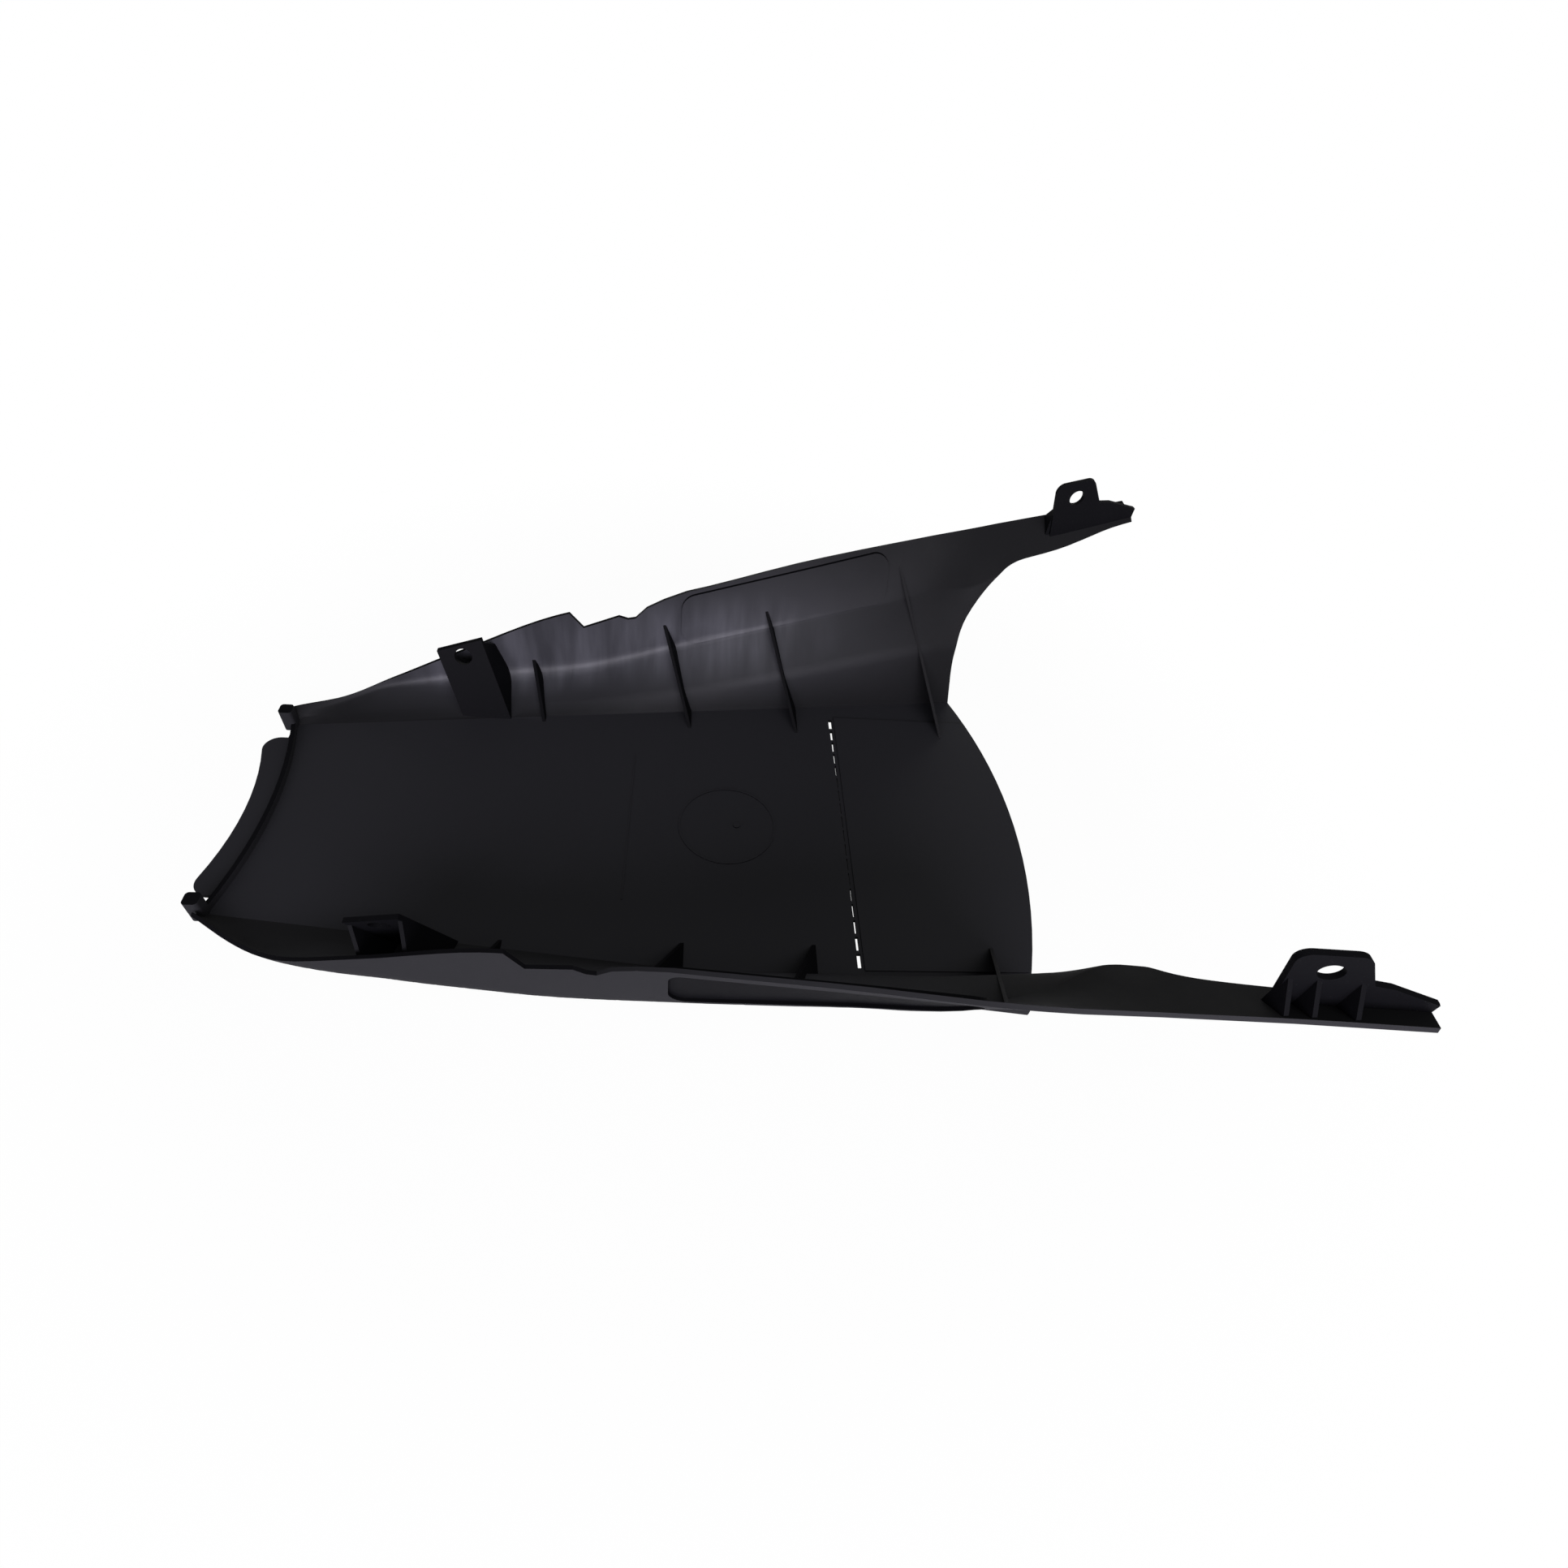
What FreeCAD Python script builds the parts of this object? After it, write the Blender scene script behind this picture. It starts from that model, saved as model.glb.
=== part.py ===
import FreeCAD, Part
import math
import os
from FreeCAD import Vector

# Belly pan of a scooter, moulded in one piece: a flat floor that widens to the rear, flared side walls
# with a crease along them, and two arms that run on behind the floor and carry the rear lugs.
# While it is drawn, X runs to the rear from the front edge of the floor, Y = 0 is the mirror plane
# and Z = 0 is the inside of the floor. All sizes are in millimetres.

# Shell
WALL = 2.3
FLOOR_LENGTH = 446.5
FLOOR_FRONT_WIDTH = 145.4
FLOOR_REAR_WIDTH = 250.6
REAR_EDGE_RADIUS = 344.0
ARM_LENGTH = 112.5

# Roundings of the wall's bend and of its crease, which is tighter to the rear, the least reach of one and
# the share of a short side that it may take, and the longest step between two cross-sections
BEND_RADIUS = 16.0
CREASE_RADIUS_FRONT = 17.0
CREASE_RADIUS_REAR = 5.0
LEAST_ROUND = 0.4
ROUND_SHARE = 0.45
SECTION_STEP = 15.0

# Cross-sections of the inside of one wall. Each row gives the place along the floor (0 front, 1 rear)
# and the half width and height of the lower bend, of the crease and of the rim.
FLOOR_SECTIONS = [
    (0.000, (74.5, 1.5), (77.0, 6.0), (78.2, 10.0)),
    (0.058, (82.0, 1.5), (92.3, 4.5), (93.6, 7.0)),
    (0.114, (87.0, 2.0), (104.0, 8.5), (105.0, 12.5)),
    (0.213, (94.0, 3.0), (115.0, 10.5), (114.5, 30.0)),
    (0.381, (102.0, 5.0), (125.5, 14.5), (127.3, 59.4)),
    (0.560, (110.0, 13.0), (137.8, 32.0), (143.3, 72.0)),
    (0.739, (119.0, 27.0), (148.6, 50.0), (161.3, 90.0)),
    (0.880, (127.0, 41.0), (156.5, 65.0), (175.1, 101.3)),
    (0.941, (129.2, 46.5), (156.0, 77.0), (180.1, 106.6)),
    (1.000, (131.2, 51.0), (148.3, 87.5), (183.9, 111.7)),
]
# The same for the arm, with the place along the arm (0 at the floor's rear corner, 1 at the tip).
ARM_SECTIONS = [
    (0.200, (139.0, 64.5), (154.6, 97.0), (187.4, 116.3)),
    (0.470, (150.0, 82.0), (160.6, 101.9), (191.8, 122.1)),
    (1.000, (165.5, 101.0), (175.5, 119.9), (201.5, 133.1)),
]

# Notch in the rim: where it starts, and how far each corner lies behind that and under the rim
NOTCH_START = 172.6
NOTCH_CORNERS = [(8.6, 13.7), (32.0, 9.8), (38.0, 13.1), (43.0, 13.2), (50.6, 6.8), (62.0, 3.0), (79.0, 0.0)]

# Lower edge of wall and arm seen from the side, as (distance behind the floor's corner, height)
ARM_EDGE = [
    (0.0, 0.0),
    (-4.0, 26.0),
    (-5.2, 50.5),
    (-3.0, 63.5),
    (1.5, 74.5),
    (9.5, 87.2),
    (22.0, 98.4),
    (42.5, 104.5),
    (60.0, 108.5),
    (94.0, 119.7),
    (112.5, 124.9),
]
TIP_SLANT = 0.5

# Recess in the outside of the wall, between the crease and the rim flange
RECESS_START = 249.0
RECESS_LENGTH = 138.0
RECESS_DEPTH = 2.0
RECESS_OVER_CREASE = 3.5
RECESS_BELOW_RIM = 5.0
RECESS_CORNER = 8.0

# Front edge: tongue, ridge across the floor and the nubs at its ends
LIP_WIDTH = 122.0
LIP_REACH = 5.0
LIP_RADIUS = 177.0
LIP_CORNER = 9.0
RIDGE_RADIUS = 280.0
RIDGE_SET_BACK = 10.5
RIDGE_THICKNESS = 2.6
RIDGE_HEIGHT = 4.5
NUB_LENGTH = 8.0
NUB_WIDTH = 8.0
NUB_REACH = 5.0
NUB_HEIGHT = 14.3
NUB_CORNER = 2.0

# Front tabs, which stand on the edge of the floor, tilt outwards and rake forwards
TAB_CENTRE = 107.0
TAB_WIDTH = 31.0
TAB_THICKNESS = 3.0
TAB_FOOT_GAP = 1.8
TAB_HEIGHT = 48.8
TAB_TOP_SLOPE = 0.28
TAB_RAKE = 0.29
TAB_TILT = 18.4
TAB_HOLE = 11.0
TAB_HOLE_HEIGHT = 41.0
TAB_WEB = 2.0
TAB_WEB_DROP = 2.5

# Rear lugs: an upright plate on each arm that runs on to the tip as a low web, with gussets outside it
LUG_THICKNESS = 3.0
LUG_FROM_TIP = 49.0
LUG_TOP_WIDTH = 25.5
LUG_TOP_SET_FORWARD = 4.5
LUG_RISE = 29.4
LUG_TOP_SLOPE = 0.21
LUG_FRONT_RAKE = 0.21
LUG_REAR_RAKE = 0.62
LUG_CORNER = 6.0
LUG_HALF_WIDTH = 181.0
LUG_SPREAD = 0.19
LUG_HOLE = 10.5
LUG_HOLE_DROP = 11.1
LUG_GUSSET_THICKNESS = 2.2
LUG_GUSSETS = [-11.5, -1.0, 15.0]
LUG_GUSSET_RISE = 13.5
WEB_RISE = 14.5
WEB_FLAT = 27.0

# Stiffening ribs between floor and wall: place of each foot along the floor, and height of its top
RIB_THICKNESS = 2.0
RIB_FOOT_WIDTH = 172.0
RIB_LEAN = 0.42
RIBS = [(0.350, 23.0), (0.571, 47.5), (0.738, 60.0), (0.972, 87.0)]

# Floor details: a row of slots that widen towards the sides, the raised pad behind them,
# a ring with the moulding gate in it, and a witness line across the floor
SLOT_ROW_FROM_REAR = 91.8
SLOT_COUNT = 18
SLOT_PITCH = 11.3
SLOT_LENGTH = 9.0
SLOT_WIDTH_END = 2.4
SLOT_WIDTH_MIDDLE = 0.5
SLOT_GROWTH = 4
PAD_GAP = 2.6
PAD_WIDTH = 205.0
PAD_RAISE = 0.8
PAD_INSET = 1.5
RING_FROM_REAR = 166.0
RING_RADIUS = 30.0
RING_LINE = 1.2
RING_RAISE = 0.5
GATE_RADIUS = 2.2
GATE_OFFSET = 6.0
GATE_RAISE = 0.8
WITNESS_FROM_REAR = 227.5
WITNESS_LENGTH = 116.0
WITNESS_LINE = 0.9
WITNESS_RAISE = 0.4

# How far a piece is sunk into the plastic that carries it, what is planed off the underside at the end,
# and how far cutters run past the part
SINK = 1.2
SPARE = 1.0
OVERRUN = 80.0
FAR = 400.0


def floor_half(x):
    """Half width of the floor at x: a straight taper from front to rear, carried on past the rear corner."""
    return (FLOOR_FRONT_WIDTH + (FLOOR_REAR_WIDTH - FLOOR_FRONT_WIDTH) * x / FLOOR_LENGTH) / 2


def given_rows():
    """The cross-sections given above as (x, [half widths and heights of bend, crease and rim])."""
    rows = [(share * FLOOR_LENGTH, list(bend + crease + rim)) for share, bend, crease, rim in FLOOR_SECTIONS]
    for share, bend, crease, rim in ARM_SECTIONS:
        rows.append((FLOOR_LENGTH + share * ARM_LENGTH, list(bend + crease + rim)))
    return rows


def slopes(places, values):
    """Slope at each place of a curve through the values that never swings past them."""
    rises = []
    for index in range(len(places) - 1):
        rises.append((values[index + 1] - values[index]) / (places[index + 1] - places[index]))
    middle = []
    for before, after in zip(rises[:-1], rises[1:]):
        middle.append(2 * before * after / (before + after) if before * after > 0 else 0.0)
    return rises[:1] + middle + rises[-1:]


def between(places, values, x):
    """Value at x of a cubic curve through the values: h00 v0 + h10 s d0 + h01 v1 + h11 s d1."""
    index = 0
    while index < len(places) - 2 and places[index + 1] < x:
        index += 1
    step = places[index + 1] - places[index]
    t = (x - places[index]) / step
    slope = slopes(places, values)
    value = (1 + 2 * t) * (1 - t) ** 2 * values[index] + t * (1 - t) ** 2 * step * slope[index]
    return value + t ** 2 * (3 - 2 * t) * values[index + 1] - t ** 2 * (1 - t) * step * slope[index + 1]


def section_at(x):
    """Bend, crease and rim at x, each as (half width, height)."""
    rows = given_rows()
    places = [place for place, values in rows]
    found = []
    for column in range(len(rows[0][1])):
        found.append(between(places, [values[column] for place, values in rows], x))
    return [tuple(found[0:2]), tuple(found[2:4]), tuple(found[4:6])]


def section_places():
    """Places along X where the loft has a cross-section: the given rows and even steps between them."""
    rows = [place for place, values in given_rows()]
    places = []
    for before, after in zip(rows[:-1], rows[1:]):
        count = max(math.ceil((after - before) / SECTION_STEP), 1)
        places += [before + (after - before) * index / count for index in range(count)]
    return places + rows[-1:]


def rim_height(x):
    """Height of the rim over the floor at x."""
    return section_at(x)[2][1]


def wall_half_width(x, height):
    """Half width of the inside of the wall at x and a height over the floor."""
    profile = [(floor_half(x), 0.0)] + section_at(x)
    low = profile[0]
    high = profile[1]
    for low, high in zip(profile[:-1], profile[1:]):
        if height <= high[1]:
            break
    share = (height - low[1]) / (high[1] - low[1])
    return low[0] + share * (high[0] - low[0])


def direction(one, two):
    """Unit vector from one point to another in the plane of a cross-section."""
    length = math.hypot(two[0] - one[0], two[1] - one[1])
    return ((two[0] - one[0]) / length, (two[1] - one[1]) / length)


def offset_profile(points, distances):
    """Moves each side of an open profile outwards by its distance and returns the corners and the end."""
    shifted = []
    for low, high, distance in zip(points[:-1], points[1:], distances):
        along = direction(low, high)
        out = (along[1] * distance, -along[0] * distance)
        shifted.append(((low[0] + out[0], low[1] + out[1]), (high[0] + out[0], high[1] + out[1]), along))
    corners = []
    for one, two in zip(shifted[:-1], shifted[1:]):
        cross = one[2][0] * two[2][1] - one[2][1] * two[2][0]
        gap = (two[0][0] - one[1][0], two[0][1] - one[1][1])
        reach = (gap[0] * two[2][1] - gap[1] * two[2][0]) / cross
        corners.append((one[1][0] + reach * one[2][0], one[1][1] + reach * one[2][1]))
    return corners + [shifted[-1][1]]


def rounding(before, corner, after, radius, offset):
    """How far a corner's rounding reaches along its sides once the profile is offset outwards."""
    one = direction(before, corner)
    two = direction(corner, after)
    cross = one[0] * two[1] - one[1] * two[0]
    half_turn = math.tan(math.asin(abs(cross)) / 2)
    shorter = min(math.dist(before, corner), math.dist(corner, after))
    reach = min(max(radius * half_turn, LEAST_ROUND), ROUND_SHARE * shorter)
    return reach + math.copysign(offset * half_turn, cross)


def crease_radius(x):
    """Radius of the crease's rounding at x, which eases from the front of the floor to its rear."""
    share = min(x / FLOOR_LENGTH, 1.0)
    return CREASE_RADIUS_FRONT + (CREASE_RADIUS_REAR - CREASE_RADIUS_FRONT) * share


def wall_path(x, offset, floor_offset, overrun):
    """One wall's profile from floor edge to rim as pieces: two poles for a side, three for a rounding."""
    bend, crease, rim = section_at(x)
    edge = (floor_half(x), 0.0)
    up = direction(crease, rim)
    end = (rim[0] + overrun * up[0], rim[1] + overrun * up[1])
    corners = offset_profile([(0.0, 0.0), edge, bend, crease, end], [floor_offset, offset, offset, offset])
    reaches = [
        rounding(edge, bend, crease, BEND_RADIUS, offset),
        rounding(bend, crease, rim, crease_radius(x), offset),
    ]
    pieces = []
    start = corners[0]
    for index, reach in enumerate(reaches):
        corner = corners[index + 1]
        back = direction(corner, corners[index])
        on = direction(corner, corners[index + 2])
        first = (corner[0] + reach * back[0], corner[1] + reach * back[1])
        last = (corner[0] + reach * on[0], corner[1] + reach * on[1])
        pieces += [[start, first], [first, corner, last]]
        start = last
    return pieces + [[start, corners[-1]]]


def piece_edge(poles):
    """Straight edge through two poles, or a rounding drawn by three."""
    if len(poles) == 2:
        return Part.makeLine(poles[0], poles[1])
    curve = Part.BezierCurve()
    curve.setPoles(poles)
    return curve.toShape()


def u_path(x, offset, floor_offset, overrun):
    """Pieces at x down one wall, across the floor and up the other wall."""
    pieces = wall_path(x, offset, floor_offset, overrun)
    down = [[Vector(x, -half, height) for half, height in reversed(poles)] for poles in reversed(pieces)]
    up = [[Vector(x, half, height) for half, height in poles] for poles in pieces]
    return down + [[down[-1][-1], up[0][0]]] + up


def path_wire(pieces):
    """Closed wire along the pieces and straight back from the end to the start."""
    pieces = pieces + [[pieces[-1][-1], pieces[0][0]]]
    return Part.Wire([piece_edge(poles) for poles in pieces])


def shell():
    """The thin pan: a loft through the wall's cross-sections, inside and back along the outside."""
    wires = []
    for x in section_places():
        inside = u_path(x, 0.0, 0.0, 0.0)
        outside = [poles[::-1] for poles in u_path(x, WALL, WALL + SPARE, 0.0)[::-1]]
        wires.append(path_wire(inside + [[inside[-1][-1], outside[0][0]]] + outside))
    return Part.makeLoft(wires, True, False)


def hull(offset, low, high):
    """The pan filled up to well over its rim, its sides offset outwards, between two places along X."""
    places = section_places()
    first = max(index for index, x in enumerate(places) if x <= low)
    last = min(index for index, x in enumerate(places) if x >= high)
    wires = [path_wire(u_path(x, offset, abs(offset) + SINK, OVERRUN)) for x in places[first:last + 1]]
    return Part.makeLoft(wires, True, False)


def closed_wire(points):
    """Closed polygon through the points."""
    return Part.makePolygon(points + points[:1])


def side_prism(points, low, high):
    """A side-view outline (x, z) carried across from y = low to y = high."""
    face = Part.Face(closed_wire([Vector(x, low, z) for x, z in points]))
    return face.extrude(Vector(0, high - low, 0))


def cross_plate(x, thickness, points):
    """A plate of the given thickness centred on x, with a front-view outline (y, z)."""
    face = Part.Face(closed_wire([Vector(x - thickness / 2, y, z) for y, z in points]))
    return face.extrude(Vector(thickness, 0, 0))


def mirrored(shape):
    """The shape with its mirror image across Y = 0."""
    return [shape, shape.mirror(Vector(0, 0, 0), Vector(0, 1, 0))]


def rim_notch():
    """What is cut from both rims: a ramp down, a floor that rises slowly, a dip and a ramp up again."""
    outline = [(NOTCH_START, FAR), (NOTCH_START, rim_height(NOTCH_START))]
    for behind, under in NOTCH_CORNERS:
        x = NOTCH_START + behind
        outline.append((x, rim_height(x) - under))
    outline.append((outline[-1][0], FAR))
    return side_prism(outline, -FAR, FAR)


def under_arm():
    """What is cut away behind the floor and under the arms, along a smooth curve from the floor's corner."""
    points = [Vector(FLOOR_LENGTH + behind, -FAR, height) for behind, height in ARM_EDGE]
    curve = Part.BSplineCurve()
    curve.interpolate(points)
    rise = (points[-1].z - points[-2].z) / (points[-1].x - points[-2].x)
    past_tip = points[-1] + Vector(FAR, 0, rise * FAR)
    corners = [points[-1], past_tip, Vector(past_tip.x, -FAR, -FAR), Vector(FLOOR_LENGTH, -FAR, -FAR)]
    corners.append(points[0])
    edges = [curve.toShape()]
    edges += [Part.makeLine(one, two) for one, two in zip(corners[:-1], corners[1:])]
    return Part.Face(Part.Wire(edges)).extrude(Vector(0, 2 * FAR, 0))


def tip_corner():
    """What is cut from the arm's tip: its end slants forwards from the web out to the rim."""
    tip = FLOOR_LENGTH + ARM_LENGTH
    web = LUG_HALF_WIDTH + LUG_SPREAD * LUG_FROM_TIP
    plan = [(tip, web), (tip - TIP_SLANT * FAR, web + FAR), (tip + FAR, web + FAR), (tip + FAR, web)]
    return Part.Face(closed_wire([Vector(x, y, 0) for x, y in plan])).extrude(Vector(0, 0, FAR))


def rear_arc(radius, x, half):
    """Edge from (x, -half) to (x, half) that bulges to the rear on the given radius."""
    bulge = radius - math.sqrt(radius ** 2 - half ** 2)
    return Part.Arc(Vector(x, -half, 0), Vector(x + bulge, 0, 0), Vector(x, half, 0)).toShape()


def rear_apron():
    """The rounded end of the floor behind the walls' corners."""
    half = floor_half(FLOOR_LENGTH)
    arc = rear_arc(REAR_EDGE_RADIUS, FLOOR_LENGTH, half)
    chord = Part.makeLine(Vector(FLOOR_LENGTH, half, 0), Vector(FLOOR_LENGTH, -half, 0))
    return Part.Face(Part.Wire([arc, chord])).extrude(Vector(0, 0, -WALL - SPARE))


def front_lip():
    """Tongue in front of the floor, hollowed to the front wheel, with rounded corners."""
    half = LIP_WIDTH / 2
    hollow = LIP_RADIUS - math.sqrt(LIP_RADIUS ** 2 - half ** 2)
    left = Vector(-LIP_REACH - hollow, -half, 0)
    right = Vector(-LIP_REACH - hollow, half, 0)
    edges = [
        Part.Arc(left, Vector(-LIP_REACH, 0, 0), right).toShape(),
        Part.makeLine(right, Vector(0, half, 0)),
        Part.makeLine(Vector(0, half, 0), Vector(0, -half, 0)),
        Part.makeLine(Vector(0, -half, 0), left),
    ]
    plate = Part.Face(Part.Wire(edges)).extrude(Vector(0, 0, -WALL - SPARE))
    corners = [edge for edge in plate.Edges if is_upright(edge) and edge.Vertexes[0].X < -LIP_REACH]
    return plate.makeFillet(LIP_CORNER, corners)


def is_upright(edge):
    """True for a straight edge along Z."""
    one = edge.Vertexes[0].Point
    two = edge.Vertexes[-1].Point
    return abs(one.x - two.x) < 1e-6 and abs(one.y - two.y) < 1e-6


def front_ridge():
    """Low ridge on an arc across the front of the floor, between the two nubs."""
    centre = Vector(RIDGE_SET_BACK - RIDGE_RADIUS, 0, -SINK)
    outer = Part.makeCylinder(RIDGE_RADIUS + RIDGE_THICKNESS / 2, SINK + RIDGE_HEIGHT, centre)
    inner = Part.makeCylinder(RIDGE_RADIUS - RIDGE_THICKNESS / 2, SINK + RIDGE_HEIGHT, centre)
    half = floor_half(0) - SINK
    zone = Part.makeBox(RIDGE_RADIUS, 2 * half, FAR, Vector(-RIDGE_RADIUS / 2, -half, -FAR / 2))
    return outer.cut(inner).common(zone)


def corner_nub():
    """Upright peg at the front corner, where the ridge meets the wall."""
    start = Vector(-NUB_REACH, floor_half(0) - NUB_WIDTH / 2, -SINK)
    peg = Part.makeBox(NUB_LENGTH, NUB_WIDTH, SINK + NUB_HEIGHT, start)
    return peg.makeFillet(NUB_CORNER, [edge for edge in peg.Edges if is_upright(edge)])


def recess_outline():
    """Side view of the wall's recess: its bottom edge follows the crease and its top edge the rim."""
    places = (RECESS_START, RECESS_START + RECESS_LENGTH)
    bottom = [(x, section_at(x)[1][1] + RECESS_OVER_CREASE) for x in places]
    top = [(x, rim_height(x) - RECESS_BELOW_RIM) for x in places]
    prism = side_prism(bottom + top[::-1], 0, FAR)
    return prism.makeFillet(RECESS_CORNER, [edge for edge in prism.Edges if is_across(edge)])


def is_across(edge):
    """True for a straight edge along Y."""
    one = edge.Vertexes[0].Point
    two = edge.Vertexes[-1].Point
    return abs(one.x - two.x) < 1e-6 and abs(one.z - two.z) < 1e-6


def grown(prism, distance):
    """A prism along Y whose side-view outline is larger all round by distance."""
    end = min(prism.Faces, key=lambda face: face.CenterOfMass.y)
    return end.makeOffset2D(distance).extrude(Vector(0, FAR, 0))


def tab_edge(side, inset):
    """Foot and top of the tab's front (-1) or rear (1) edge in side view, set in by inset."""
    across = side * (TAB_WIDTH / 2 - inset)
    low = TAB_CENTRE + across + TAB_RAKE * (TAB_HOLE_HEIGHT + SINK)
    drop = TAB_RAKE * (TAB_HEIGHT - TAB_HOLE_HEIGHT)
    top = TAB_HEIGHT + TAB_TOP_SLOPE * (across - drop)
    return [(low, -SINK), (low - TAB_RAKE * (top + SINK), top)]


def tab_plate(inside):
    """Front tab: a leaning slab cut to the tab's side view."""
    tilt = math.tan(math.radians(TAB_TILT))
    foot = floor_half(TAB_CENTRE) + TAB_FOOT_GAP
    across = TAB_THICKNESS / math.cos(math.radians(TAB_TILT))
    slab = cross_plate(TAB_CENTRE, FAR, [
        (foot - SINK * tilt, -SINK),
        (foot + OVERRUN * tilt, OVERRUN),
        (foot + OVERRUN * tilt + across, OVERRUN),
        (foot - SINK * tilt + across, -SINK),
    ])
    outline = tab_edge(-1, 0.0) + tab_edge(1, 0.0)[::-1]
    return side_prism(outline, 0, FAR).common(slab).common(inside)


def tab_hole():
    """The tab's hole, square to the tilted plate."""
    tilt = math.radians(TAB_TILT)
    face = floor_half(TAB_CENTRE) + TAB_FOOT_GAP + TAB_HOLE_HEIGHT * math.tan(tilt)
    axis = Vector(0, math.cos(tilt), -math.sin(tilt))
    start = Vector(TAB_CENTRE, face, TAB_HOLE_HEIGHT) - axis * TAB_THICKNESS
    return Part.makeCylinder(TAB_HOLE / 2, 3 * TAB_THICKNESS, start, axis)


def tab_web(side, inside):
    """Web along one edge of the tab, from its back to the wall, with a top edge that falls to the rim."""
    outline = tab_edge(side, 0.0) + tab_edge(side, TAB_WEB)[::-1]
    x, top = outline[1]
    tilt = math.tan(math.radians(TAB_TILT))
    back = floor_half(TAB_CENTRE) + TAB_FOOT_GAP + TAB_THICKNESS / 2
    rim = section_at(x)[2]
    across = cross_plate(x, FAR, [
        (back, -SINK),
        (back + (top - TAB_WEB_DROP) * tilt, top - TAB_WEB_DROP),
        (rim[0], rim[1] - TAB_WEB_DROP),
        (rim[0] + OVERRUN, rim[1] - TAB_WEB_DROP),
        (rim[0] + OVERRUN, -SINK),
    ])
    return side_prism(outline, 0, FAR).common(across).common(inside)


def lug_centre():
    """Place of the lug's hole along X."""
    return FLOOR_LENGTH + ARM_LENGTH - LUG_FROM_TIP


def lug_top():
    """Height of the middle of the lug's top edge."""
    return rim_height(lug_centre()) + LUG_RISE


def lug_plate(inside):
    """Rear lug and its web in side view, carried through an upright slab that spreads to the rear."""
    hole = lug_centre()
    tip = FLOOR_LENGTH + ARM_LENGTH
    middle = hole - LUG_TOP_SET_FORWARD
    front = middle - LUG_TOP_WIDTH / 2
    rear = middle + LUG_TOP_WIDTH / 2
    front_top = lug_top() - LUG_TOP_SLOPE * LUG_TOP_WIDTH / 2
    rear_top = lug_top() + LUG_TOP_SLOPE * LUG_TOP_WIDTH / 2
    foot = front_top - OVERRUN
    web = rim_height(hole) + WEB_RISE
    outline = [
        (front + LUG_FRONT_RAKE * (front_top - foot), foot),
        (front, front_top),
        (rear, rear_top),
        (rear + LUG_REAR_RAKE * (rear_top - web), web),
        (hole + WEB_FLAT, web),
        (tip, rim_height(tip)),
        (tip, foot),
    ]
    side = side_prism(outline, 0, FAR)
    corners = []
    for edge in side.Edges:
        if is_across(edge) and edge.Vertexes[0].Z > front_top - SINK:
            corners.append(edge)
    side = side.makeFillet(LUG_CORNER, corners)
    plan = []
    across = LUG_THICKNESS * math.hypot(1, LUG_SPREAD) / 2
    for x in (hole - OVERRUN, hole + OVERRUN):
        middle = LUG_HALF_WIDTH + LUG_SPREAD * (x - hole)
        plan.append([Vector(x, middle - across, 0), Vector(x, middle + across, 0)])
    slab = Part.Face(closed_wire(plan[0] + plan[1][::-1])).extrude(Vector(0, 0, FAR))
    return side.common(slab).common(inside)


def lug_hole():
    """The lug's hole, square to its plate."""
    axis = Vector(-LUG_SPREAD, 1, 0).normalize()
    start = Vector(lug_centre(), LUG_HALF_WIDTH, lug_top() - LUG_HOLE_DROP) - axis * LUG_THICKNESS
    return Part.makeCylinder(LUG_HOLE / 2, 2 * LUG_THICKNESS, start, axis)


def lug_gusset(offset, inside):
    """Fin outside the lug's plate, sloping down to the rim."""
    x = lug_centre() + offset
    plate = LUG_HALF_WIDTH + LUG_SPREAD * offset
    rim = section_at(x)[2]
    fin = cross_plate(x, LUG_GUSSET_THICKNESS, [
        (plate, rim[1] - OVERRUN),
        (plate, rim[1] + LUG_GUSSET_RISE),
        (rim[0] - SINK, rim[1]),
        (rim[0] - SINK, rim[1] - OVERRUN),
    ])
    return fin.common(inside)


def rib(share, top, inside):
    """Gusset rib with a straight free edge from the floor to the wall, leaning forwards as it rises."""
    foot = share * FLOOR_LENGTH
    half = RIB_THICKNESS / 2
    leaning = side_prism([
        (foot - half + RIB_LEAN * SINK, -SINK),
        (foot - half - RIB_LEAN * top, top),
        (foot + half - RIB_LEAN * top, top),
        (foot + half + RIB_LEAN * SINK, -SINK),
    ], 0, FAR)
    inner = RIB_FOOT_WIDTH / 2
    wall = wall_half_width(foot - RIB_LEAN * top, top)
    edge = cross_plate(foot, FAR, [(inner, -SINK), (inner, 0.0), (wall, top), (FAR, top), (FAR, -SINK)])
    return leaning.common(edge).common(inside)


def slots():
    """Row of slots across the floor, narrow in the middle and wider towards the sides."""
    x = FLOOR_LENGTH - SLOT_ROW_FROM_REAR
    reach = (SLOT_COUNT - 1) / 2
    cutters = []
    for index in range(SLOT_COUNT):
        place = index - reach
        width = SLOT_WIDTH_MIDDLE + (SLOT_WIDTH_END - SLOT_WIDTH_MIDDLE) * (place / reach) ** SLOT_GROWTH
        start = Vector(x - width / 2, place * SLOT_PITCH - SLOT_LENGTH / 2, -2 * WALL)
        cutters.append(Part.makeBox(width, SLOT_LENGTH, 4 * WALL, start))
    return cutters


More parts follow.
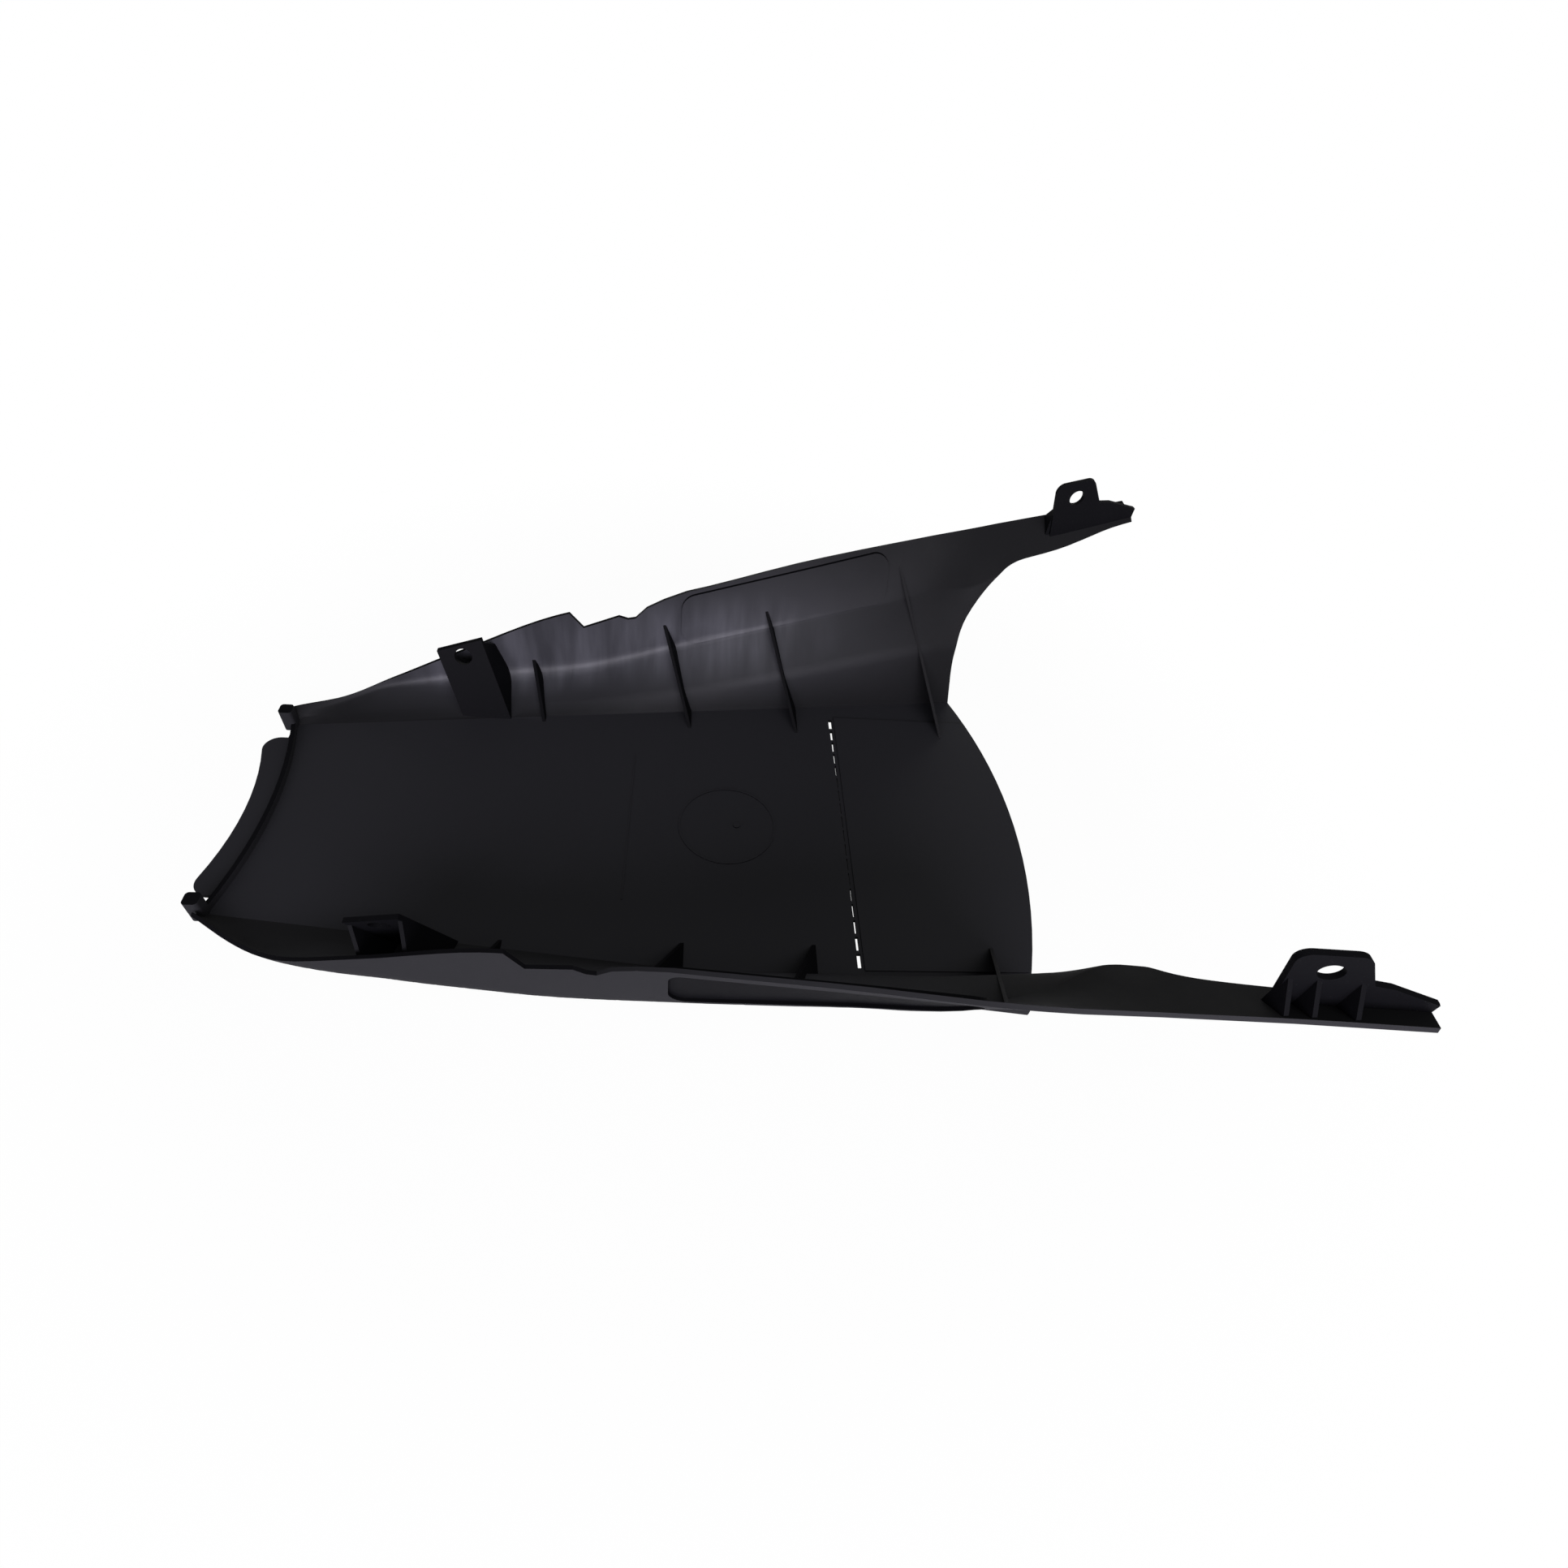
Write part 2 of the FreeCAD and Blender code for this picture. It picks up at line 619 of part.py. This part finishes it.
def rear_pad():
    """Slightly raised panel of the floor behind the slots, up to just inside its rear edge."""
    start = FLOOR_LENGTH - SLOT_ROW_FROM_REAR + PAD_GAP
    half = PAD_WIDTH / 2
    edge = FLOOR_LENGTH - PAD_INSET
    whole = floor_half(FLOOR_LENGTH)
    base = REAR_EDGE_RADIUS - math.sqrt(REAR_EDGE_RADIUS ** 2 - whole ** 2)
    side = REAR_EDGE_RADIUS - math.sqrt(REAR_EDGE_RADIUS ** 2 - half ** 2)
    arc = rear_arc(REAR_EDGE_RADIUS, edge + base - side, half)
    right = Vector(edge + base - side, half, 0)
    left = Vector(edge + base - side, -half, 0)
    edges = [
        arc,
        Part.makeLine(right, Vector(start, half, 0)),
        Part.makeLine(Vector(start, half, 0), Vector(start, -half, 0)),
        Part.makeLine(Vector(start, -half, 0), left),
    ]
    panel = Part.Face(Part.Wire(edges)).extrude(Vector(0, 0, SINK + PAD_RAISE))
    panel.translate(Vector(0, 0, -SINK))
    return panel


def floor_marks():
    """Raised ring, the gate in it and the witness line across the floor."""
    centre = Vector(FLOOR_LENGTH - RING_FROM_REAR, 0, -SINK)
    ring = Part.makeCylinder(RING_RADIUS + RING_LINE / 2, SINK + RING_RAISE, centre)
    ring = ring.cut(Part.makeCylinder(RING_RADIUS - RING_LINE / 2, SINK + RING_RAISE, centre))
    gate = Part.makeCylinder(GATE_RADIUS, SINK + GATE_RAISE, centre + Vector(GATE_OFFSET, 0, 0))
    start = Vector(FLOOR_LENGTH - WITNESS_FROM_REAR, -WITNESS_LENGTH / 2, -SINK)
    line = Part.makeBox(WITNESS_LINE, WITNESS_LENGTH, SINK + WITNESS_RAISE, start)
    return [ring, gate, line]


def under_floor():
    """What is planed off below the floor, so that the part rests on one flat face."""
    return Part.makeBox(4 * FAR, 4 * FAR, FAR, Vector(-2 * FAR, -2 * FAR, -WALL - FAR))


def recess_pieces():
    """Swell added inside the wall and pocket cut from its outside."""
    outline = recess_outline()
    low = RECESS_START - 2 * WALL
    high = RECESS_START + RECESS_LENGTH + 2 * WALL
    swell = hull(SINK, low, high).cut(hull(-RECESS_DEPTH, low, high)).common(grown(outline, WALL))
    pocket = hull(2 * WALL, low, high).cut(hull(WALL - RECESS_DEPTH, low, high)).common(outline)
    return swell, pocket


def belly_pan():
    """The whole moulding as one solid, still in the drawing frame."""
    pan = shell().cut([rim_notch(), under_arm()])
    inside = hull(SINK, 0.0, FLOOR_LENGTH + ARM_LENGTH)
    swell, pocket = recess_pieces()
    one_side = [swell, corner_nub(), tab_plate(inside), lug_plate(inside)]
    one_side += [tab_web(side, inside) for side in (-1, 1)]
    one_side += [lug_gusset(offset, inside) for offset in LUG_GUSSETS]
    one_side += [rib(share, top, inside) for share, top in RIBS]
    added = [rear_apron(), front_lip(), front_ridge(), rear_pad()] + floor_marks()
    for piece in one_side:
        added += mirrored(piece)
    pan = pan.fuse(added)
    holes = slots()
    for piece in (pocket, tab_hole(), lug_hole(), tip_corner()):
        holes += mirrored(piece)
    return pan.cut(holes).cut(under_floor()).removeSplitter()


def standing(shape):
    """The shape moved so that the origin is under the middle of its box, on the surface that it rests on."""
    box = shape.optimalBoundingBox(False, False)
    moved = shape.copy()
    moved.translate(Vector(-(box.XMin + box.XMax) / 2, 0, -box.ZMin))
    return moved


os.makedirs("parts", exist_ok=True)
pan = standing(belly_pan())
solid = pan.Solids[0]
print("solids", len(pan.Solids), "valid", pan.isValid(), "faces", len(pan.Faces), "volume", round(pan.Volume))
print("box", pan.optimalBoundingBox(False, False))
solid.exportStep("parts/belly_pan.step")
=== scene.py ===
# %% [markdown]
# Belly pan of a scooter.
# The pan is the black plastic tray that closes a scooter's underside. It is moulded in one piece: a flat
# floor, two flared walls with a crease along them, thin ribs in the corners, and two arms to the rear that
# carry the bolt lugs. The exact solid comes packed from the CAD model, in metres, with +X to the rear.
# This lesson dresses that solid: it softens the edges, gives it the plastic's grain and gloss, and sets up
# the camera, the floor and the light of the photograph.

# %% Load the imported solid
import bpy
import numpy as np
from mathutils import Matrix, Vector


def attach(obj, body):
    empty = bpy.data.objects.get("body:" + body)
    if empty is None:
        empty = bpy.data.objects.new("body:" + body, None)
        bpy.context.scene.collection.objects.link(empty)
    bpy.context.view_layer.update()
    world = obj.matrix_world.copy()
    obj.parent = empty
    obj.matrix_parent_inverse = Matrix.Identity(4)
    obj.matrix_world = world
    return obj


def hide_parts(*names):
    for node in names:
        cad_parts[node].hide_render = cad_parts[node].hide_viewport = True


MM = 0.001
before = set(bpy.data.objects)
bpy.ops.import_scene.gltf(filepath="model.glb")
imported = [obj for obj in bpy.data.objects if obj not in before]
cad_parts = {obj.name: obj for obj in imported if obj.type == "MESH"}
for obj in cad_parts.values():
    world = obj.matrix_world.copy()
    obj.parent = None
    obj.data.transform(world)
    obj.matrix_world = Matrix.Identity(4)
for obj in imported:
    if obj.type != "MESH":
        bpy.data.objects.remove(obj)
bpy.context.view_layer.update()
print("nodes", sorted(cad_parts))

# %% [markdown]
# Colours are written as sRGB hex values, as a paint chart gives them, and Blender's shaders work in linear
# light, so one function turns the one into the other. A second small function adds a shader node, sets what
# it is told to set and makes its links. Two more make an empty material and an object in the scene.

# %% Helpers
WHITE = "#ffffff"


def linear(hex_colour):
    """sRGB hex to linear RGBA: c / 12.92 below 0.04045, else ((c + 0.055) / 1.055) to the power 2.4."""
    srgb = np.array([int(hex_colour[i:i + 2], 16) for i in (1, 3, 5)]) / 255
    line = np.where(srgb <= 0.04045, srgb / 12.92, ((srgb + 0.055) / 1.055) ** 2.4)
    return [*line.tolist(), 1.0]


def node(tree, kind, inputs=None, **settings):
    """A new shader node: settings go on the node, inputs on its sockets, as values or sockets to link."""
    made = tree.nodes.new(kind)
    for name, value in settings.items():
        setattr(made, name, value)
    for name, value in (inputs or {}).items():
        if isinstance(value, bpy.types.NodeSocket):
            tree.links.new(value, made.inputs[name])
        else:
            made.inputs[name].default_value = value
    return made


def new_material(name):
    """An empty node material, its node tree and its output node."""
    material = bpy.data.materials.new(name)
    material.use_nodes = True
    tree = material.node_tree
    tree.nodes.clear()
    return material, tree, node(tree, "ShaderNodeOutputMaterial")


def new_object(name, data):
    """An object at the origin that shows the data, linked into the scene."""
    made = bpy.data.objects.new(name, data)
    bpy.context.scene.collection.objects.link(made)
    return made


print("white in linear light", linear(WHITE))

# %% [markdown]
# The plastic is black polypropylene, injection moulded in a steel tool. Patterns on Object coordinates keep
# it from looking flat. Rub marks stand upright on the walls, where hands and tools slid along them, and they
# begin only where the plastic is polished well and painted lighter grey for the light on it. Dust lies in
# small pale specks, here one cell of a Voronoi pattern each.

# %% Rub marks and dust
RUB_ACROSS = 13 * MM
RUB_ALONG = 90 * MM
RUB_DETAIL = 3.0
RUB_FROM = 0.5
NOISE_LOW, NOISE_HIGH = 0.3, 0.7  # nearly all of Blender's noise lies between these
SPECK = 2.2 * MM
SPECK_CORE, SPECK_EDGE = 0.03, 0.09
DUST_COVER = 0.2


def rub_marks(tree, place, polish_and_painted_light):
    """Noise drawn out along Y and Z, from 0 up to a share that grows from RUB_FROM to 1 with the mask that
    sets both smoothness and painted light.
    """
    drawn_out = node(tree, "ShaderNodeMapping", {
        "Vector": place, "Scale": (1 / RUB_ACROSS, 1 / RUB_ALONG, 1 / RUB_ALONG)})
    rub = node(tree, "ShaderNodeTexNoise", {
        "Vector": drawn_out.outputs["Vector"], "Scale": 1.0, "Detail": RUB_DETAIL})
    share = node(tree, "ShaderNodeMapRange", {"Value": polish_and_painted_light, "From Min": RUB_FROM, "From Max": 1.0})
    marks = node(tree, "ShaderNodeMapRange", {
        "Value": rub.outputs["Fac"], "From Min": NOISE_LOW, "From Max": NOISE_HIGH,
        "To Min": 0.0, "To Max": share.outputs["Result"]})
    return marks.outputs["Result"]


def dust_specks(tree, place):
    """Cover of dust: even in the core of a speck, fading to nothing at its edge."""
    speck = node(tree, "ShaderNodeTexVoronoi", {
        "Vector": place, "Scale": 1 / SPECK, "Randomness": 1.0})
    cover = node(tree, "ShaderNodeMapRange", {
        "Value": speck.outputs["Distance"], "From Min": SPECK_CORE, "From Max": SPECK_EDGE,
        "To Min": DUST_COVER, "To Max": 0.0})
    return cover.outputs["Result"]


print("rub marks", round(RUB_ACROSS / MM), "mm wide, dust", round(SPECK / MM, 1), "mm apart")

# %% [markdown]
# The plastic has two finishes. Tabs, ribs, lugs and edges come from spark eroded steel, which prints a fine
# dull grain, and they look nearly black. Walls and floor come from polished steel, so that the part slides
# off it. They have a low gloss, and an attribute called polish says where they are smoother. The same
# attribute also paints light: it blends the black into a grey that stands in for the lamps' light on walls
# and floor.
# Both finishes share one recipe. Gloss is even over each, so it is a plain value of its shader. Polypropylene
# has an IOR of 1.49. Its gloss is set well below the usual 0.5, to match the dull look in the photograph.
# A real grain is about a tenth of a millimetre, and it is drawn at half a millimetre so that it can show.

# %% Moulded black polypropylene
GRAIN = 0.55 * MM
GRAIN_DEPTH = 0.2 * MM
GRAIN_STRENGTH = 0.06
GRAIN_DETAIL = 2.0
CLOUD = 60 * MM
CLOUD_DETAIL, CLOUD_ROUGHNESS = 4.0, 0.6
BLACK, FADED_BLACK = "#08080a", "#0c0c0e"
# PAINTED_LIGHT_GREY is painted light: the lit tone of walls and floor, put into their colour. RUBBED_GREY is
# that painted tone made lighter in the rub marks.
PAINTED_LIGHT_GREY, RUBBED_GREY = "#2a2a2e", "#45454a"
DUST = "#4a4a48"
POLISHED_ROUGHNESS, RUBBED_ROUGHNESS = 0.47, 0.37
ROUGHNESS_DRIFT = 0.08
POLYPROPYLENE_IOR = 1.49


def moulded_polypropylene(name, gloss, roughness):
    """Polish blends drifting black of the given roughness into smoother, painted light grey with rub marks.
    """
    material, tree, output = new_material(name)
    place = node(tree, "ShaderNodeTexCoord").outputs["Object"]
    polish_and_painted_light = node(tree, "ShaderNodeAttribute", attribute_name="polish_and_painted_light").outputs["Fac"]
    marks = rub_marks(tree, place, polish_and_painted_light)
    cloud = node(tree, "ShaderNodeTexNoise", {
        "Vector": place, "Scale": 1 / CLOUD, "Detail": CLOUD_DETAIL, "Roughness": CLOUD_ROUGHNESS})
    grain = node(tree, "ShaderNodeTexNoise", {
        "Vector": place, "Scale": 1 / GRAIN, "Detail": GRAIN_DETAIL})
    black = node(tree, "ShaderNodeMix", {
        "Factor": cloud.outputs["Fac"], "A": linear(BLACK), "B": linear(FADED_BLACK)}, data_type="RGBA")
    painted_light_grey = node(tree, "ShaderNodeMix", {
        "Factor": marks, "A": linear(PAINTED_LIGHT_GREY), "B": linear(RUBBED_GREY)}, data_type="RGBA")
    # The polish attribute blends the real black into the painted light grey.
    clean_with_painted_light = node(tree, "ShaderNodeMix", {
        "Factor": polish_and_painted_light, "A": black.outputs["Result"], "B": painted_light_grey.outputs["Result"]}, data_type="RGBA")
    dusty = node(tree, "ShaderNodeMix", {
        "Factor": dust_specks(tree, place), "A": clean_with_painted_light.outputs["Result"], "B": linear(DUST)},
        data_type="RGBA")
    dull = node(tree, "ShaderNodeMapRange", {
        "Value": cloud.outputs["Fac"], "From Min": NOISE_LOW, "From Max": NOISE_HIGH,
        "To Min": roughness - ROUGHNESS_DRIFT, "To Max": roughness})
    satin = node(tree, "ShaderNodeMapRange", {
        "Value": marks, "To Min": POLISHED_ROUGHNESS, "To Max": RUBBED_ROUGHNESS})
    rough = node(tree, "ShaderNodeMix", {
        "Factor": polish_and_painted_light, "A": dull.outputs["Result"], "B": satin.outputs["Result"]})
    bump = node(tree, "ShaderNodeBump", {
        "Height": grain.outputs["Fac"], "Strength": GRAIN_STRENGTH, "Distance": GRAIN_DEPTH})
    shader = node(tree, "ShaderNodeBsdfPrincipled", {
        "Base Color": dusty.outputs["Result"], "Roughness": rough.outputs["Result"],
        "Specular IOR Level": gloss, "Normal": bump.outputs["Normal"], "IOR": POLYPROPYLENE_IOR})
    tree.links.new(shader.outputs["BSDF"], output.inputs["Surface"])
    return material


eroded_plastic = moulded_polypropylene("polypropylene_spark_eroded_black", gloss=0.04, roughness=0.62)
# The polished material also paints light: the polish attribute turns its faces grey where light falls on
# them.
polished_plastic_with_painted_light = moulded_polypropylene("polypropylene_polished_black_painted_light", gloss=0.2, roughness=0.80)
print("materials", eroded_plastic.name, polished_plastic_with_painted_light.name)

# %% [markdown]
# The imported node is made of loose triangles. A copy with its shared corners merged can be shaded smoothly:
# faces that meet at a shallow angle run into each other, and real edges stay sharp. No moulding has knife
# edges, so a narrow bevel then rounds them, and it is this round that catches the light along rims and ribs.

# %% Merge the triangles into one skin
MICROMETRE = MM * MM
SHARP = np.radians(32)
EDGE_ROUND = 0.35 * MM
EDGE_SEGMENTS = 2


def mesh_values(items, name, width, kind=float):
    """A value of every item of a mesh, such as its faces, as an array with a row for each item."""
    values = np.empty(len(items) * width, dtype=kind)
    items.foreach_get(name, values)
    return values.reshape(-1, width)


def merged_copy(source, name):
    """Corners with the same place, rounded to a micrometre, become one vertex."""
    mesh = source.data
    points = mesh_values(mesh.vertices, "co", 3)
    corners = mesh_values(mesh.loops, "vertex_index", 1, np.int64)
    whole = np.round(points / MICROMETRE).astype(np.int64)
    _, first, joined = np.unique(whole, axis=0, return_index=True, return_inverse=True)
    triangles = joined.reshape(-1)[corners].reshape(-1, 3)
    sound = np.all(triangles != np.roll(triangles, 1, axis=1), axis=1)
    merged = bpy.data.meshes.new(name)
    merged.from_pydata(points[first].tolist(), [], triangles[sound].tolist())
    merged.validate()
    return merged


skin = merged_copy(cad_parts["belly_pan"], "belly_pan_skin")
skin.shade_smooth()
skin.set_sharp_from_angle(angle=SHARP)
skin.materials.append(eroded_plastic)
skin.materials.append(polished_plastic_with_painted_light)
pan = new_object("belly_pan_skin", skin)
edge = pan.modifiers.new("edge_round", "BEVEL")
edge.width = EDGE_ROUND
edge.segments = EDGE_SEGMENTS
edge.limit_method = "ANGLE"
edge.angle_limit = SHARP
edge.harden_normals = True
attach(pan, "root")
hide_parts("belly_pan")
print("pan", len(skin.vertices), "corners", len(skin.polygons), "triangles")

# %% [markdown]
# Which faces are polished? The inside of each wall is one smooth skin from the floor's edge to the rim,
# bounded by sharp edges, and so is the swell of its recess. Choosing faces by hand would break with the next
# change of the solid, so faces are gathered into skins by spreading a label over every edge that isn't sharp.

# %% Smooth skins
def smooth_skins(mesh):
    """Label of each face's skin: over soft edges the smaller label spreads till nothing changes."""
    sharp = np.empty(len(mesh.edges), dtype=bool)
    mesh.attributes["sharp_edge"].data.foreach_get("value", sharp)
    edges = mesh_values(mesh.loops, "edge_index", 1, np.int64)[:, 0]
    faces = np.repeat(np.arange(len(mesh.polygons)), 3)
    order = np.argsort(edges, kind="stable")
    edges, faces = edges[order], faces[order]
    soft = (edges[:-1] == edges[1:]) & ~sharp[edges[:-1]]
    one, two = faces[:-1][soft], faces[1:][soft]
    label = np.arange(len(mesh.polygons))
    while True:
        least = np.minimum(label[one], label[two])
        spread = label.copy()
        np.minimum.at(spread, one, least)
        np.minimum.at(spread, two, least)
        spread = spread[spread]
        if np.array_equal(spread, label):
            return label
        label = spread


labels = smooth_skins(skin)
print("smooth skins", len(np.unique(labels)))

# %% [markdown]
# Long skins that face inwards are the walls' insides. They are polished most in the middle, and less near
# the floor, the front corner, a high rim and the arms. Since polish also greys the colour, this fade is
# painted
# shade: the walls are painted darker near the floor, where the near wall casts its shadow, and towards the
# front corner, the high rim and the arms, where less light falls. Long skins that face outwards, and the flat
# floor, are polished evenly and painted an even lighter grey for the light on them. All other faces keep the
# dull finish. Polish is stored for each corner of a face, so that it fades along a wall and still ends at a
# sharp edge.

# %% Polish
INSIDE_LENGTH = 110 * MM
OUTSIDE_LENGTH = 250 * MM
FACING = 0.2
FLAT = 0.985
FLOOR_TOP = 4 * MM
# These ramps set where the walls' painted light grey fades into painted shade.
FRONT_NONE = -270 * MM
FRONT_FULL = -180 * MM
REAR_FULL = 30 * MM
REAR_NONE = 155 * MM
LOW_NONE = 2 * MM
LOW_FULL = (13 * MM, 46 * MM)
LOW_SPAN = (-120 * MM, 80 * MM)
RIM_FULL = 50 * MM
RIM_NONE = 103 * MM
# These levels also set how much painted light grey the walls' least lit parts, the outside and the floor get.
LEAST_POLISH_AND_LIGHT = 0.12
OUTSIDE_POLISH_AND_LIGHT = 0.22
FLOOR_POLISH_AND_LIGHT = RUB_FROM


def ramp(values, none, full):
    """Straight rise from 0 at none to 1 at full, level beyond them."""
    return np.clip((values - none) / (full - none), 0, 1)


def wall_polish_and_painted_shade(points):
    """Product of ramps, painted shade in the walls' grey: up from the floor, down to a high rim, up from the
    front and down to the arms.
    """
    x, z = points[:, 0], points[:, 2]
    height = ramp(z, LOW_NONE, np.interp(x, LOW_SPAN, LOW_FULL)) * ramp(z, RIM_NONE, RIM_FULL)
    length = ramp(x, FRONT_NONE, FRONT_FULL) * ramp(x, REAR_NONE, REAR_FULL)
    return np.maximum(height, LEAST_POLISH_AND_LIGHT) * length


middles = mesh_values(skin.polygons, "center", 3)
normals = mesh_values(skin.polygons, "normal", 3)
areas = mesh_values(skin.polygons, "area", 1)[:, 0]
inwards = -areas * normals[:, 1] * np.sign(middles[:, 1])
inside = np.zeros(len(labels), dtype=bool)
even_polish_and_light = np.zeros(len(labels))
for label in np.unique(labels):
    mine = labels == label
    length = np.ptp(middles[mine, 0])
    facing, least = np.sum(inwards[mine]), FACING * np.sum(areas[mine])
    if facing > least and length > INSIDE_LENGTH:
        inside[mine] = True
        print("inside skin", int(mine.sum()), "faces", round(length / MM), "mm long")
    if facing < -least and length > OUTSIDE_LENGTH:
        even_polish_and_light[mine] = OUTSIDE_POLISH_AND_LIGHT
flat = (normals[:, 2] > FLAT) & (middles[:, 2] < FLOOR_TOP)
inside[flat] = False
even_polish_and_light[flat] = FLOOR_POLISH_AND_LIGHT
corner_points = mesh_values(skin.loops, "vertex_index", 1, np.int64)[:, 0]
# Inside faces get the walls' painted shade fade, outside faces and the floor an even level of painted light.
wall_painted_shade = wall_polish_and_painted_shade(mesh_values(skin.vertices, "co", 3)[corner_points])
polish_and_painted_light = np.where(np.repeat(inside, 3), wall_painted_shade, np.repeat(even_polish_and_light, 3))
skin.attributes.new("polish_and_painted_light", "FLOAT", "CORNER").data.foreach_set("value", polish_and_painted_light)
polished = inside | (even_polish_and_light > 0)
skin.polygons.foreach_set("material_index", polished.astype(np.int32))
print("polished faces", int(polished.sum()), "of", len(polished))

# %% [markdown]
# The camera stands where the photograph was taken from: to the left of the pan, above it, looking down into
# the tray with a short lens. Its place and axes were worked out from the mirror symmetry of the two sides.
# The picture is square, 1932 pixels wide, and the focal length is 1050 of those pixels.

# %% Camera
PICTURE = 1932
FOCAL_PIXELS = 1050
SENSOR = 36.0
NEAREST, FARTHEST = 0.01, 200.0
EYE = Vector((-19.492, -341.5, 418.1)) * MM
RIGHT = Vector((0.9928, -0.0491, 0.1097))
BACK = Vector((-0.1143, -0.6686, 0.7348))

lens = bpy.data.cameras.new("camera")
lens.sensor_width = SENSOR
lens.lens = SENSOR * FOCAL_PIXELS / PICTURE
lens.clip_start, lens.clip_end = NEAREST, FARTHEST
camera = new_object("camera", lens)
back = BACK.normalized()
right = (RIGHT - RIGHT.dot(back) * back).normalized()
turn = Matrix((right, back.cross(right), back)).transposed()
camera.matrix_world = Matrix.Translation(EYE) @ turn.to_4x4()
bpy.context.scene.camera = camera
print("lens in mm", round(lens.lens, 2))

# %% [markdown]
# The photograph has a pure white ground. A large floor gives that: to the camera it is an even white glow
# with a little plain matt white mixed in near the pan, which keeps a faint shadow there. The pan mirrors a
# dimmer sheet, as large as a table, so that only faces that look down at the sheet are lit up by it.

# %% Floor
FLOOR_HALF = 60.0
FLOOR_GAP = 0.2 * MM
SHADOW_FULL, SHADOW_NONE = 0.27, 0.45
SHADOW_SHARE = 0.03
SHEET_FULL, SHEET_NONE = 0.45, 0.9
MIRROR_SHARE = 0.2
MATT_WHITE = "#c0c0c0"

floor_mesh = bpy.data.meshes.new("floor")
square = FLOOR_HALF * np.array([(-1, -1, 0), (1, -1, 0), (1, 1, 0), (-1, 1, 0)])
floor_mesh.from_pydata((square - [0, 0, FLOOR_GAP]).tolist(), [], [(0, 1, 2, 3)])
floor = new_object("floor", floor_mesh)
ground, tree, output = new_material("matt_white_ground")
path = node(tree, "ShaderNodeLightPath").outputs
place = node(tree, "ShaderNodeTexCoord").outputs["Object"]
away = node(tree, "ShaderNodeVectorMath", {0: place}, operation="LENGTH").outputs["Value"]
shown = node(tree, "ShaderNodeMapRange", {
    "Value": away, "From Min": SHADOW_FULL, "From Max": SHADOW_NONE,
    "To Min": 1 - SHADOW_SHARE, "To Max": 1.0})
sheet = node(tree, "ShaderNodeMapRange", {
    "Value": away, "From Min": SHEET_FULL, "From Max": SHEET_NONE,
    "To Min": MIRROR_SHARE, "To Max": 0.0})
mirrored = node(tree, "ShaderNodeMath", {
    0: path["Is Glossy Ray"], 1: path["Is Transmission Ray"]}, operation="MAXIMUM")
to_camera = node(tree, "ShaderNodeMath", {
    0: path["Is Camera Ray"], 1: shown.outputs["Result"]}, operation="MULTIPLY")
share = node(tree, "ShaderNodeMath", {
    0: mirrored.outputs[0], 1: sheet.outputs["Result"], 2: to_camera.outputs[0]},
    operation="MULTIPLY_ADD")
matt = node(tree, "ShaderNodeBsdfDiffuse", {"Color": linear(MATT_WHITE)})
glow = node(tree, "ShaderNodeEmission", {"Color": linear(WHITE), "Strength": 1.0})
mixed = node(tree, "ShaderNodeMixShader", {
    0: share.outputs[0], 1: matt.outputs[0], 2: glow.outputs[0]})
tree.links.new(mixed.outputs[0], output.inputs["Surface"])
floor_mesh.materials.append(ground)
print("floor half width in m", FLOOR_HALF)

# %% [markdown]
# Three lamps light the pan. A soft box overhead, a little to the camera's side, lights the flanks between
# bend and crease and the floor. A low, wide lamp on the camera's side looks over the near rim at the upright
# part of the far wall and draws the bright line along its crease. It is slightly cool, as the photograph is.
# A weak lamp behind the pan draws the near arm. A dim room fills the rest, and the camera sees it as white.

# %% Light
LAMPS = {
    "overhead_soft_box": {"size": (0.8, 0.6), "place": (0.35, -0.6, 1.15), "target": (0.0, 0.0, 0.0),
                          "watts": 6.0, "colour": WHITE},
    "low_lamp": {"size": (1.8, 0.8), "place": (-0.1, -1.4, 0.5), "target": (-0.05, 0.15, 0.06),
                 "watts": 46.0, "colour": "#f6f2ff"},
    "rear_lamp": {"size": (1.8, 0.5), "place": (0.3, 1.5, 0.36), "target": (0.1, 0.0, 0.08),
                  "watts": 4.5, "colour": WHITE},
}
ROOM = 0.15


def area_lamp(name, size, place, target, watts, colour):
    """A rectangular lamp at a place, turned so that it faces a target point."""
    light = bpy.data.lights.new(name, "AREA")
    light.shape = "RECTANGLE"
    light.size, light.size_y = size
    light.energy = watts
    light.color = linear(colour)[:3]
    lamp = new_object(name, light)
    lamp.location = place
    lamp.rotation_euler = (Vector(target) - Vector(place)).to_track_quat("-Z", "Y").to_euler()


for name, settings in LAMPS.items():
    area_lamp(name, **settings)
world = bpy.data.worlds.new("dim_room")
world.use_nodes = True
tree = world.node_tree
room = tree.nodes["Background"]
room.inputs["Color"].default_value = linear(WHITE)
seen = node(tree, "ShaderNodeLightPath").outputs["Is Camera Ray"]
level = node(tree, "ShaderNodeMapRange", {"Value": seen, "To Min": ROOM, "To Max": 1.0})
tree.links.new(level.outputs["Result"], room.inputs["Strength"])
bpy.context.scene.world = world
bpy.context.scene.view_settings.view_transform = "Standard"
print("lamps", [light.name for light in bpy.data.lights])
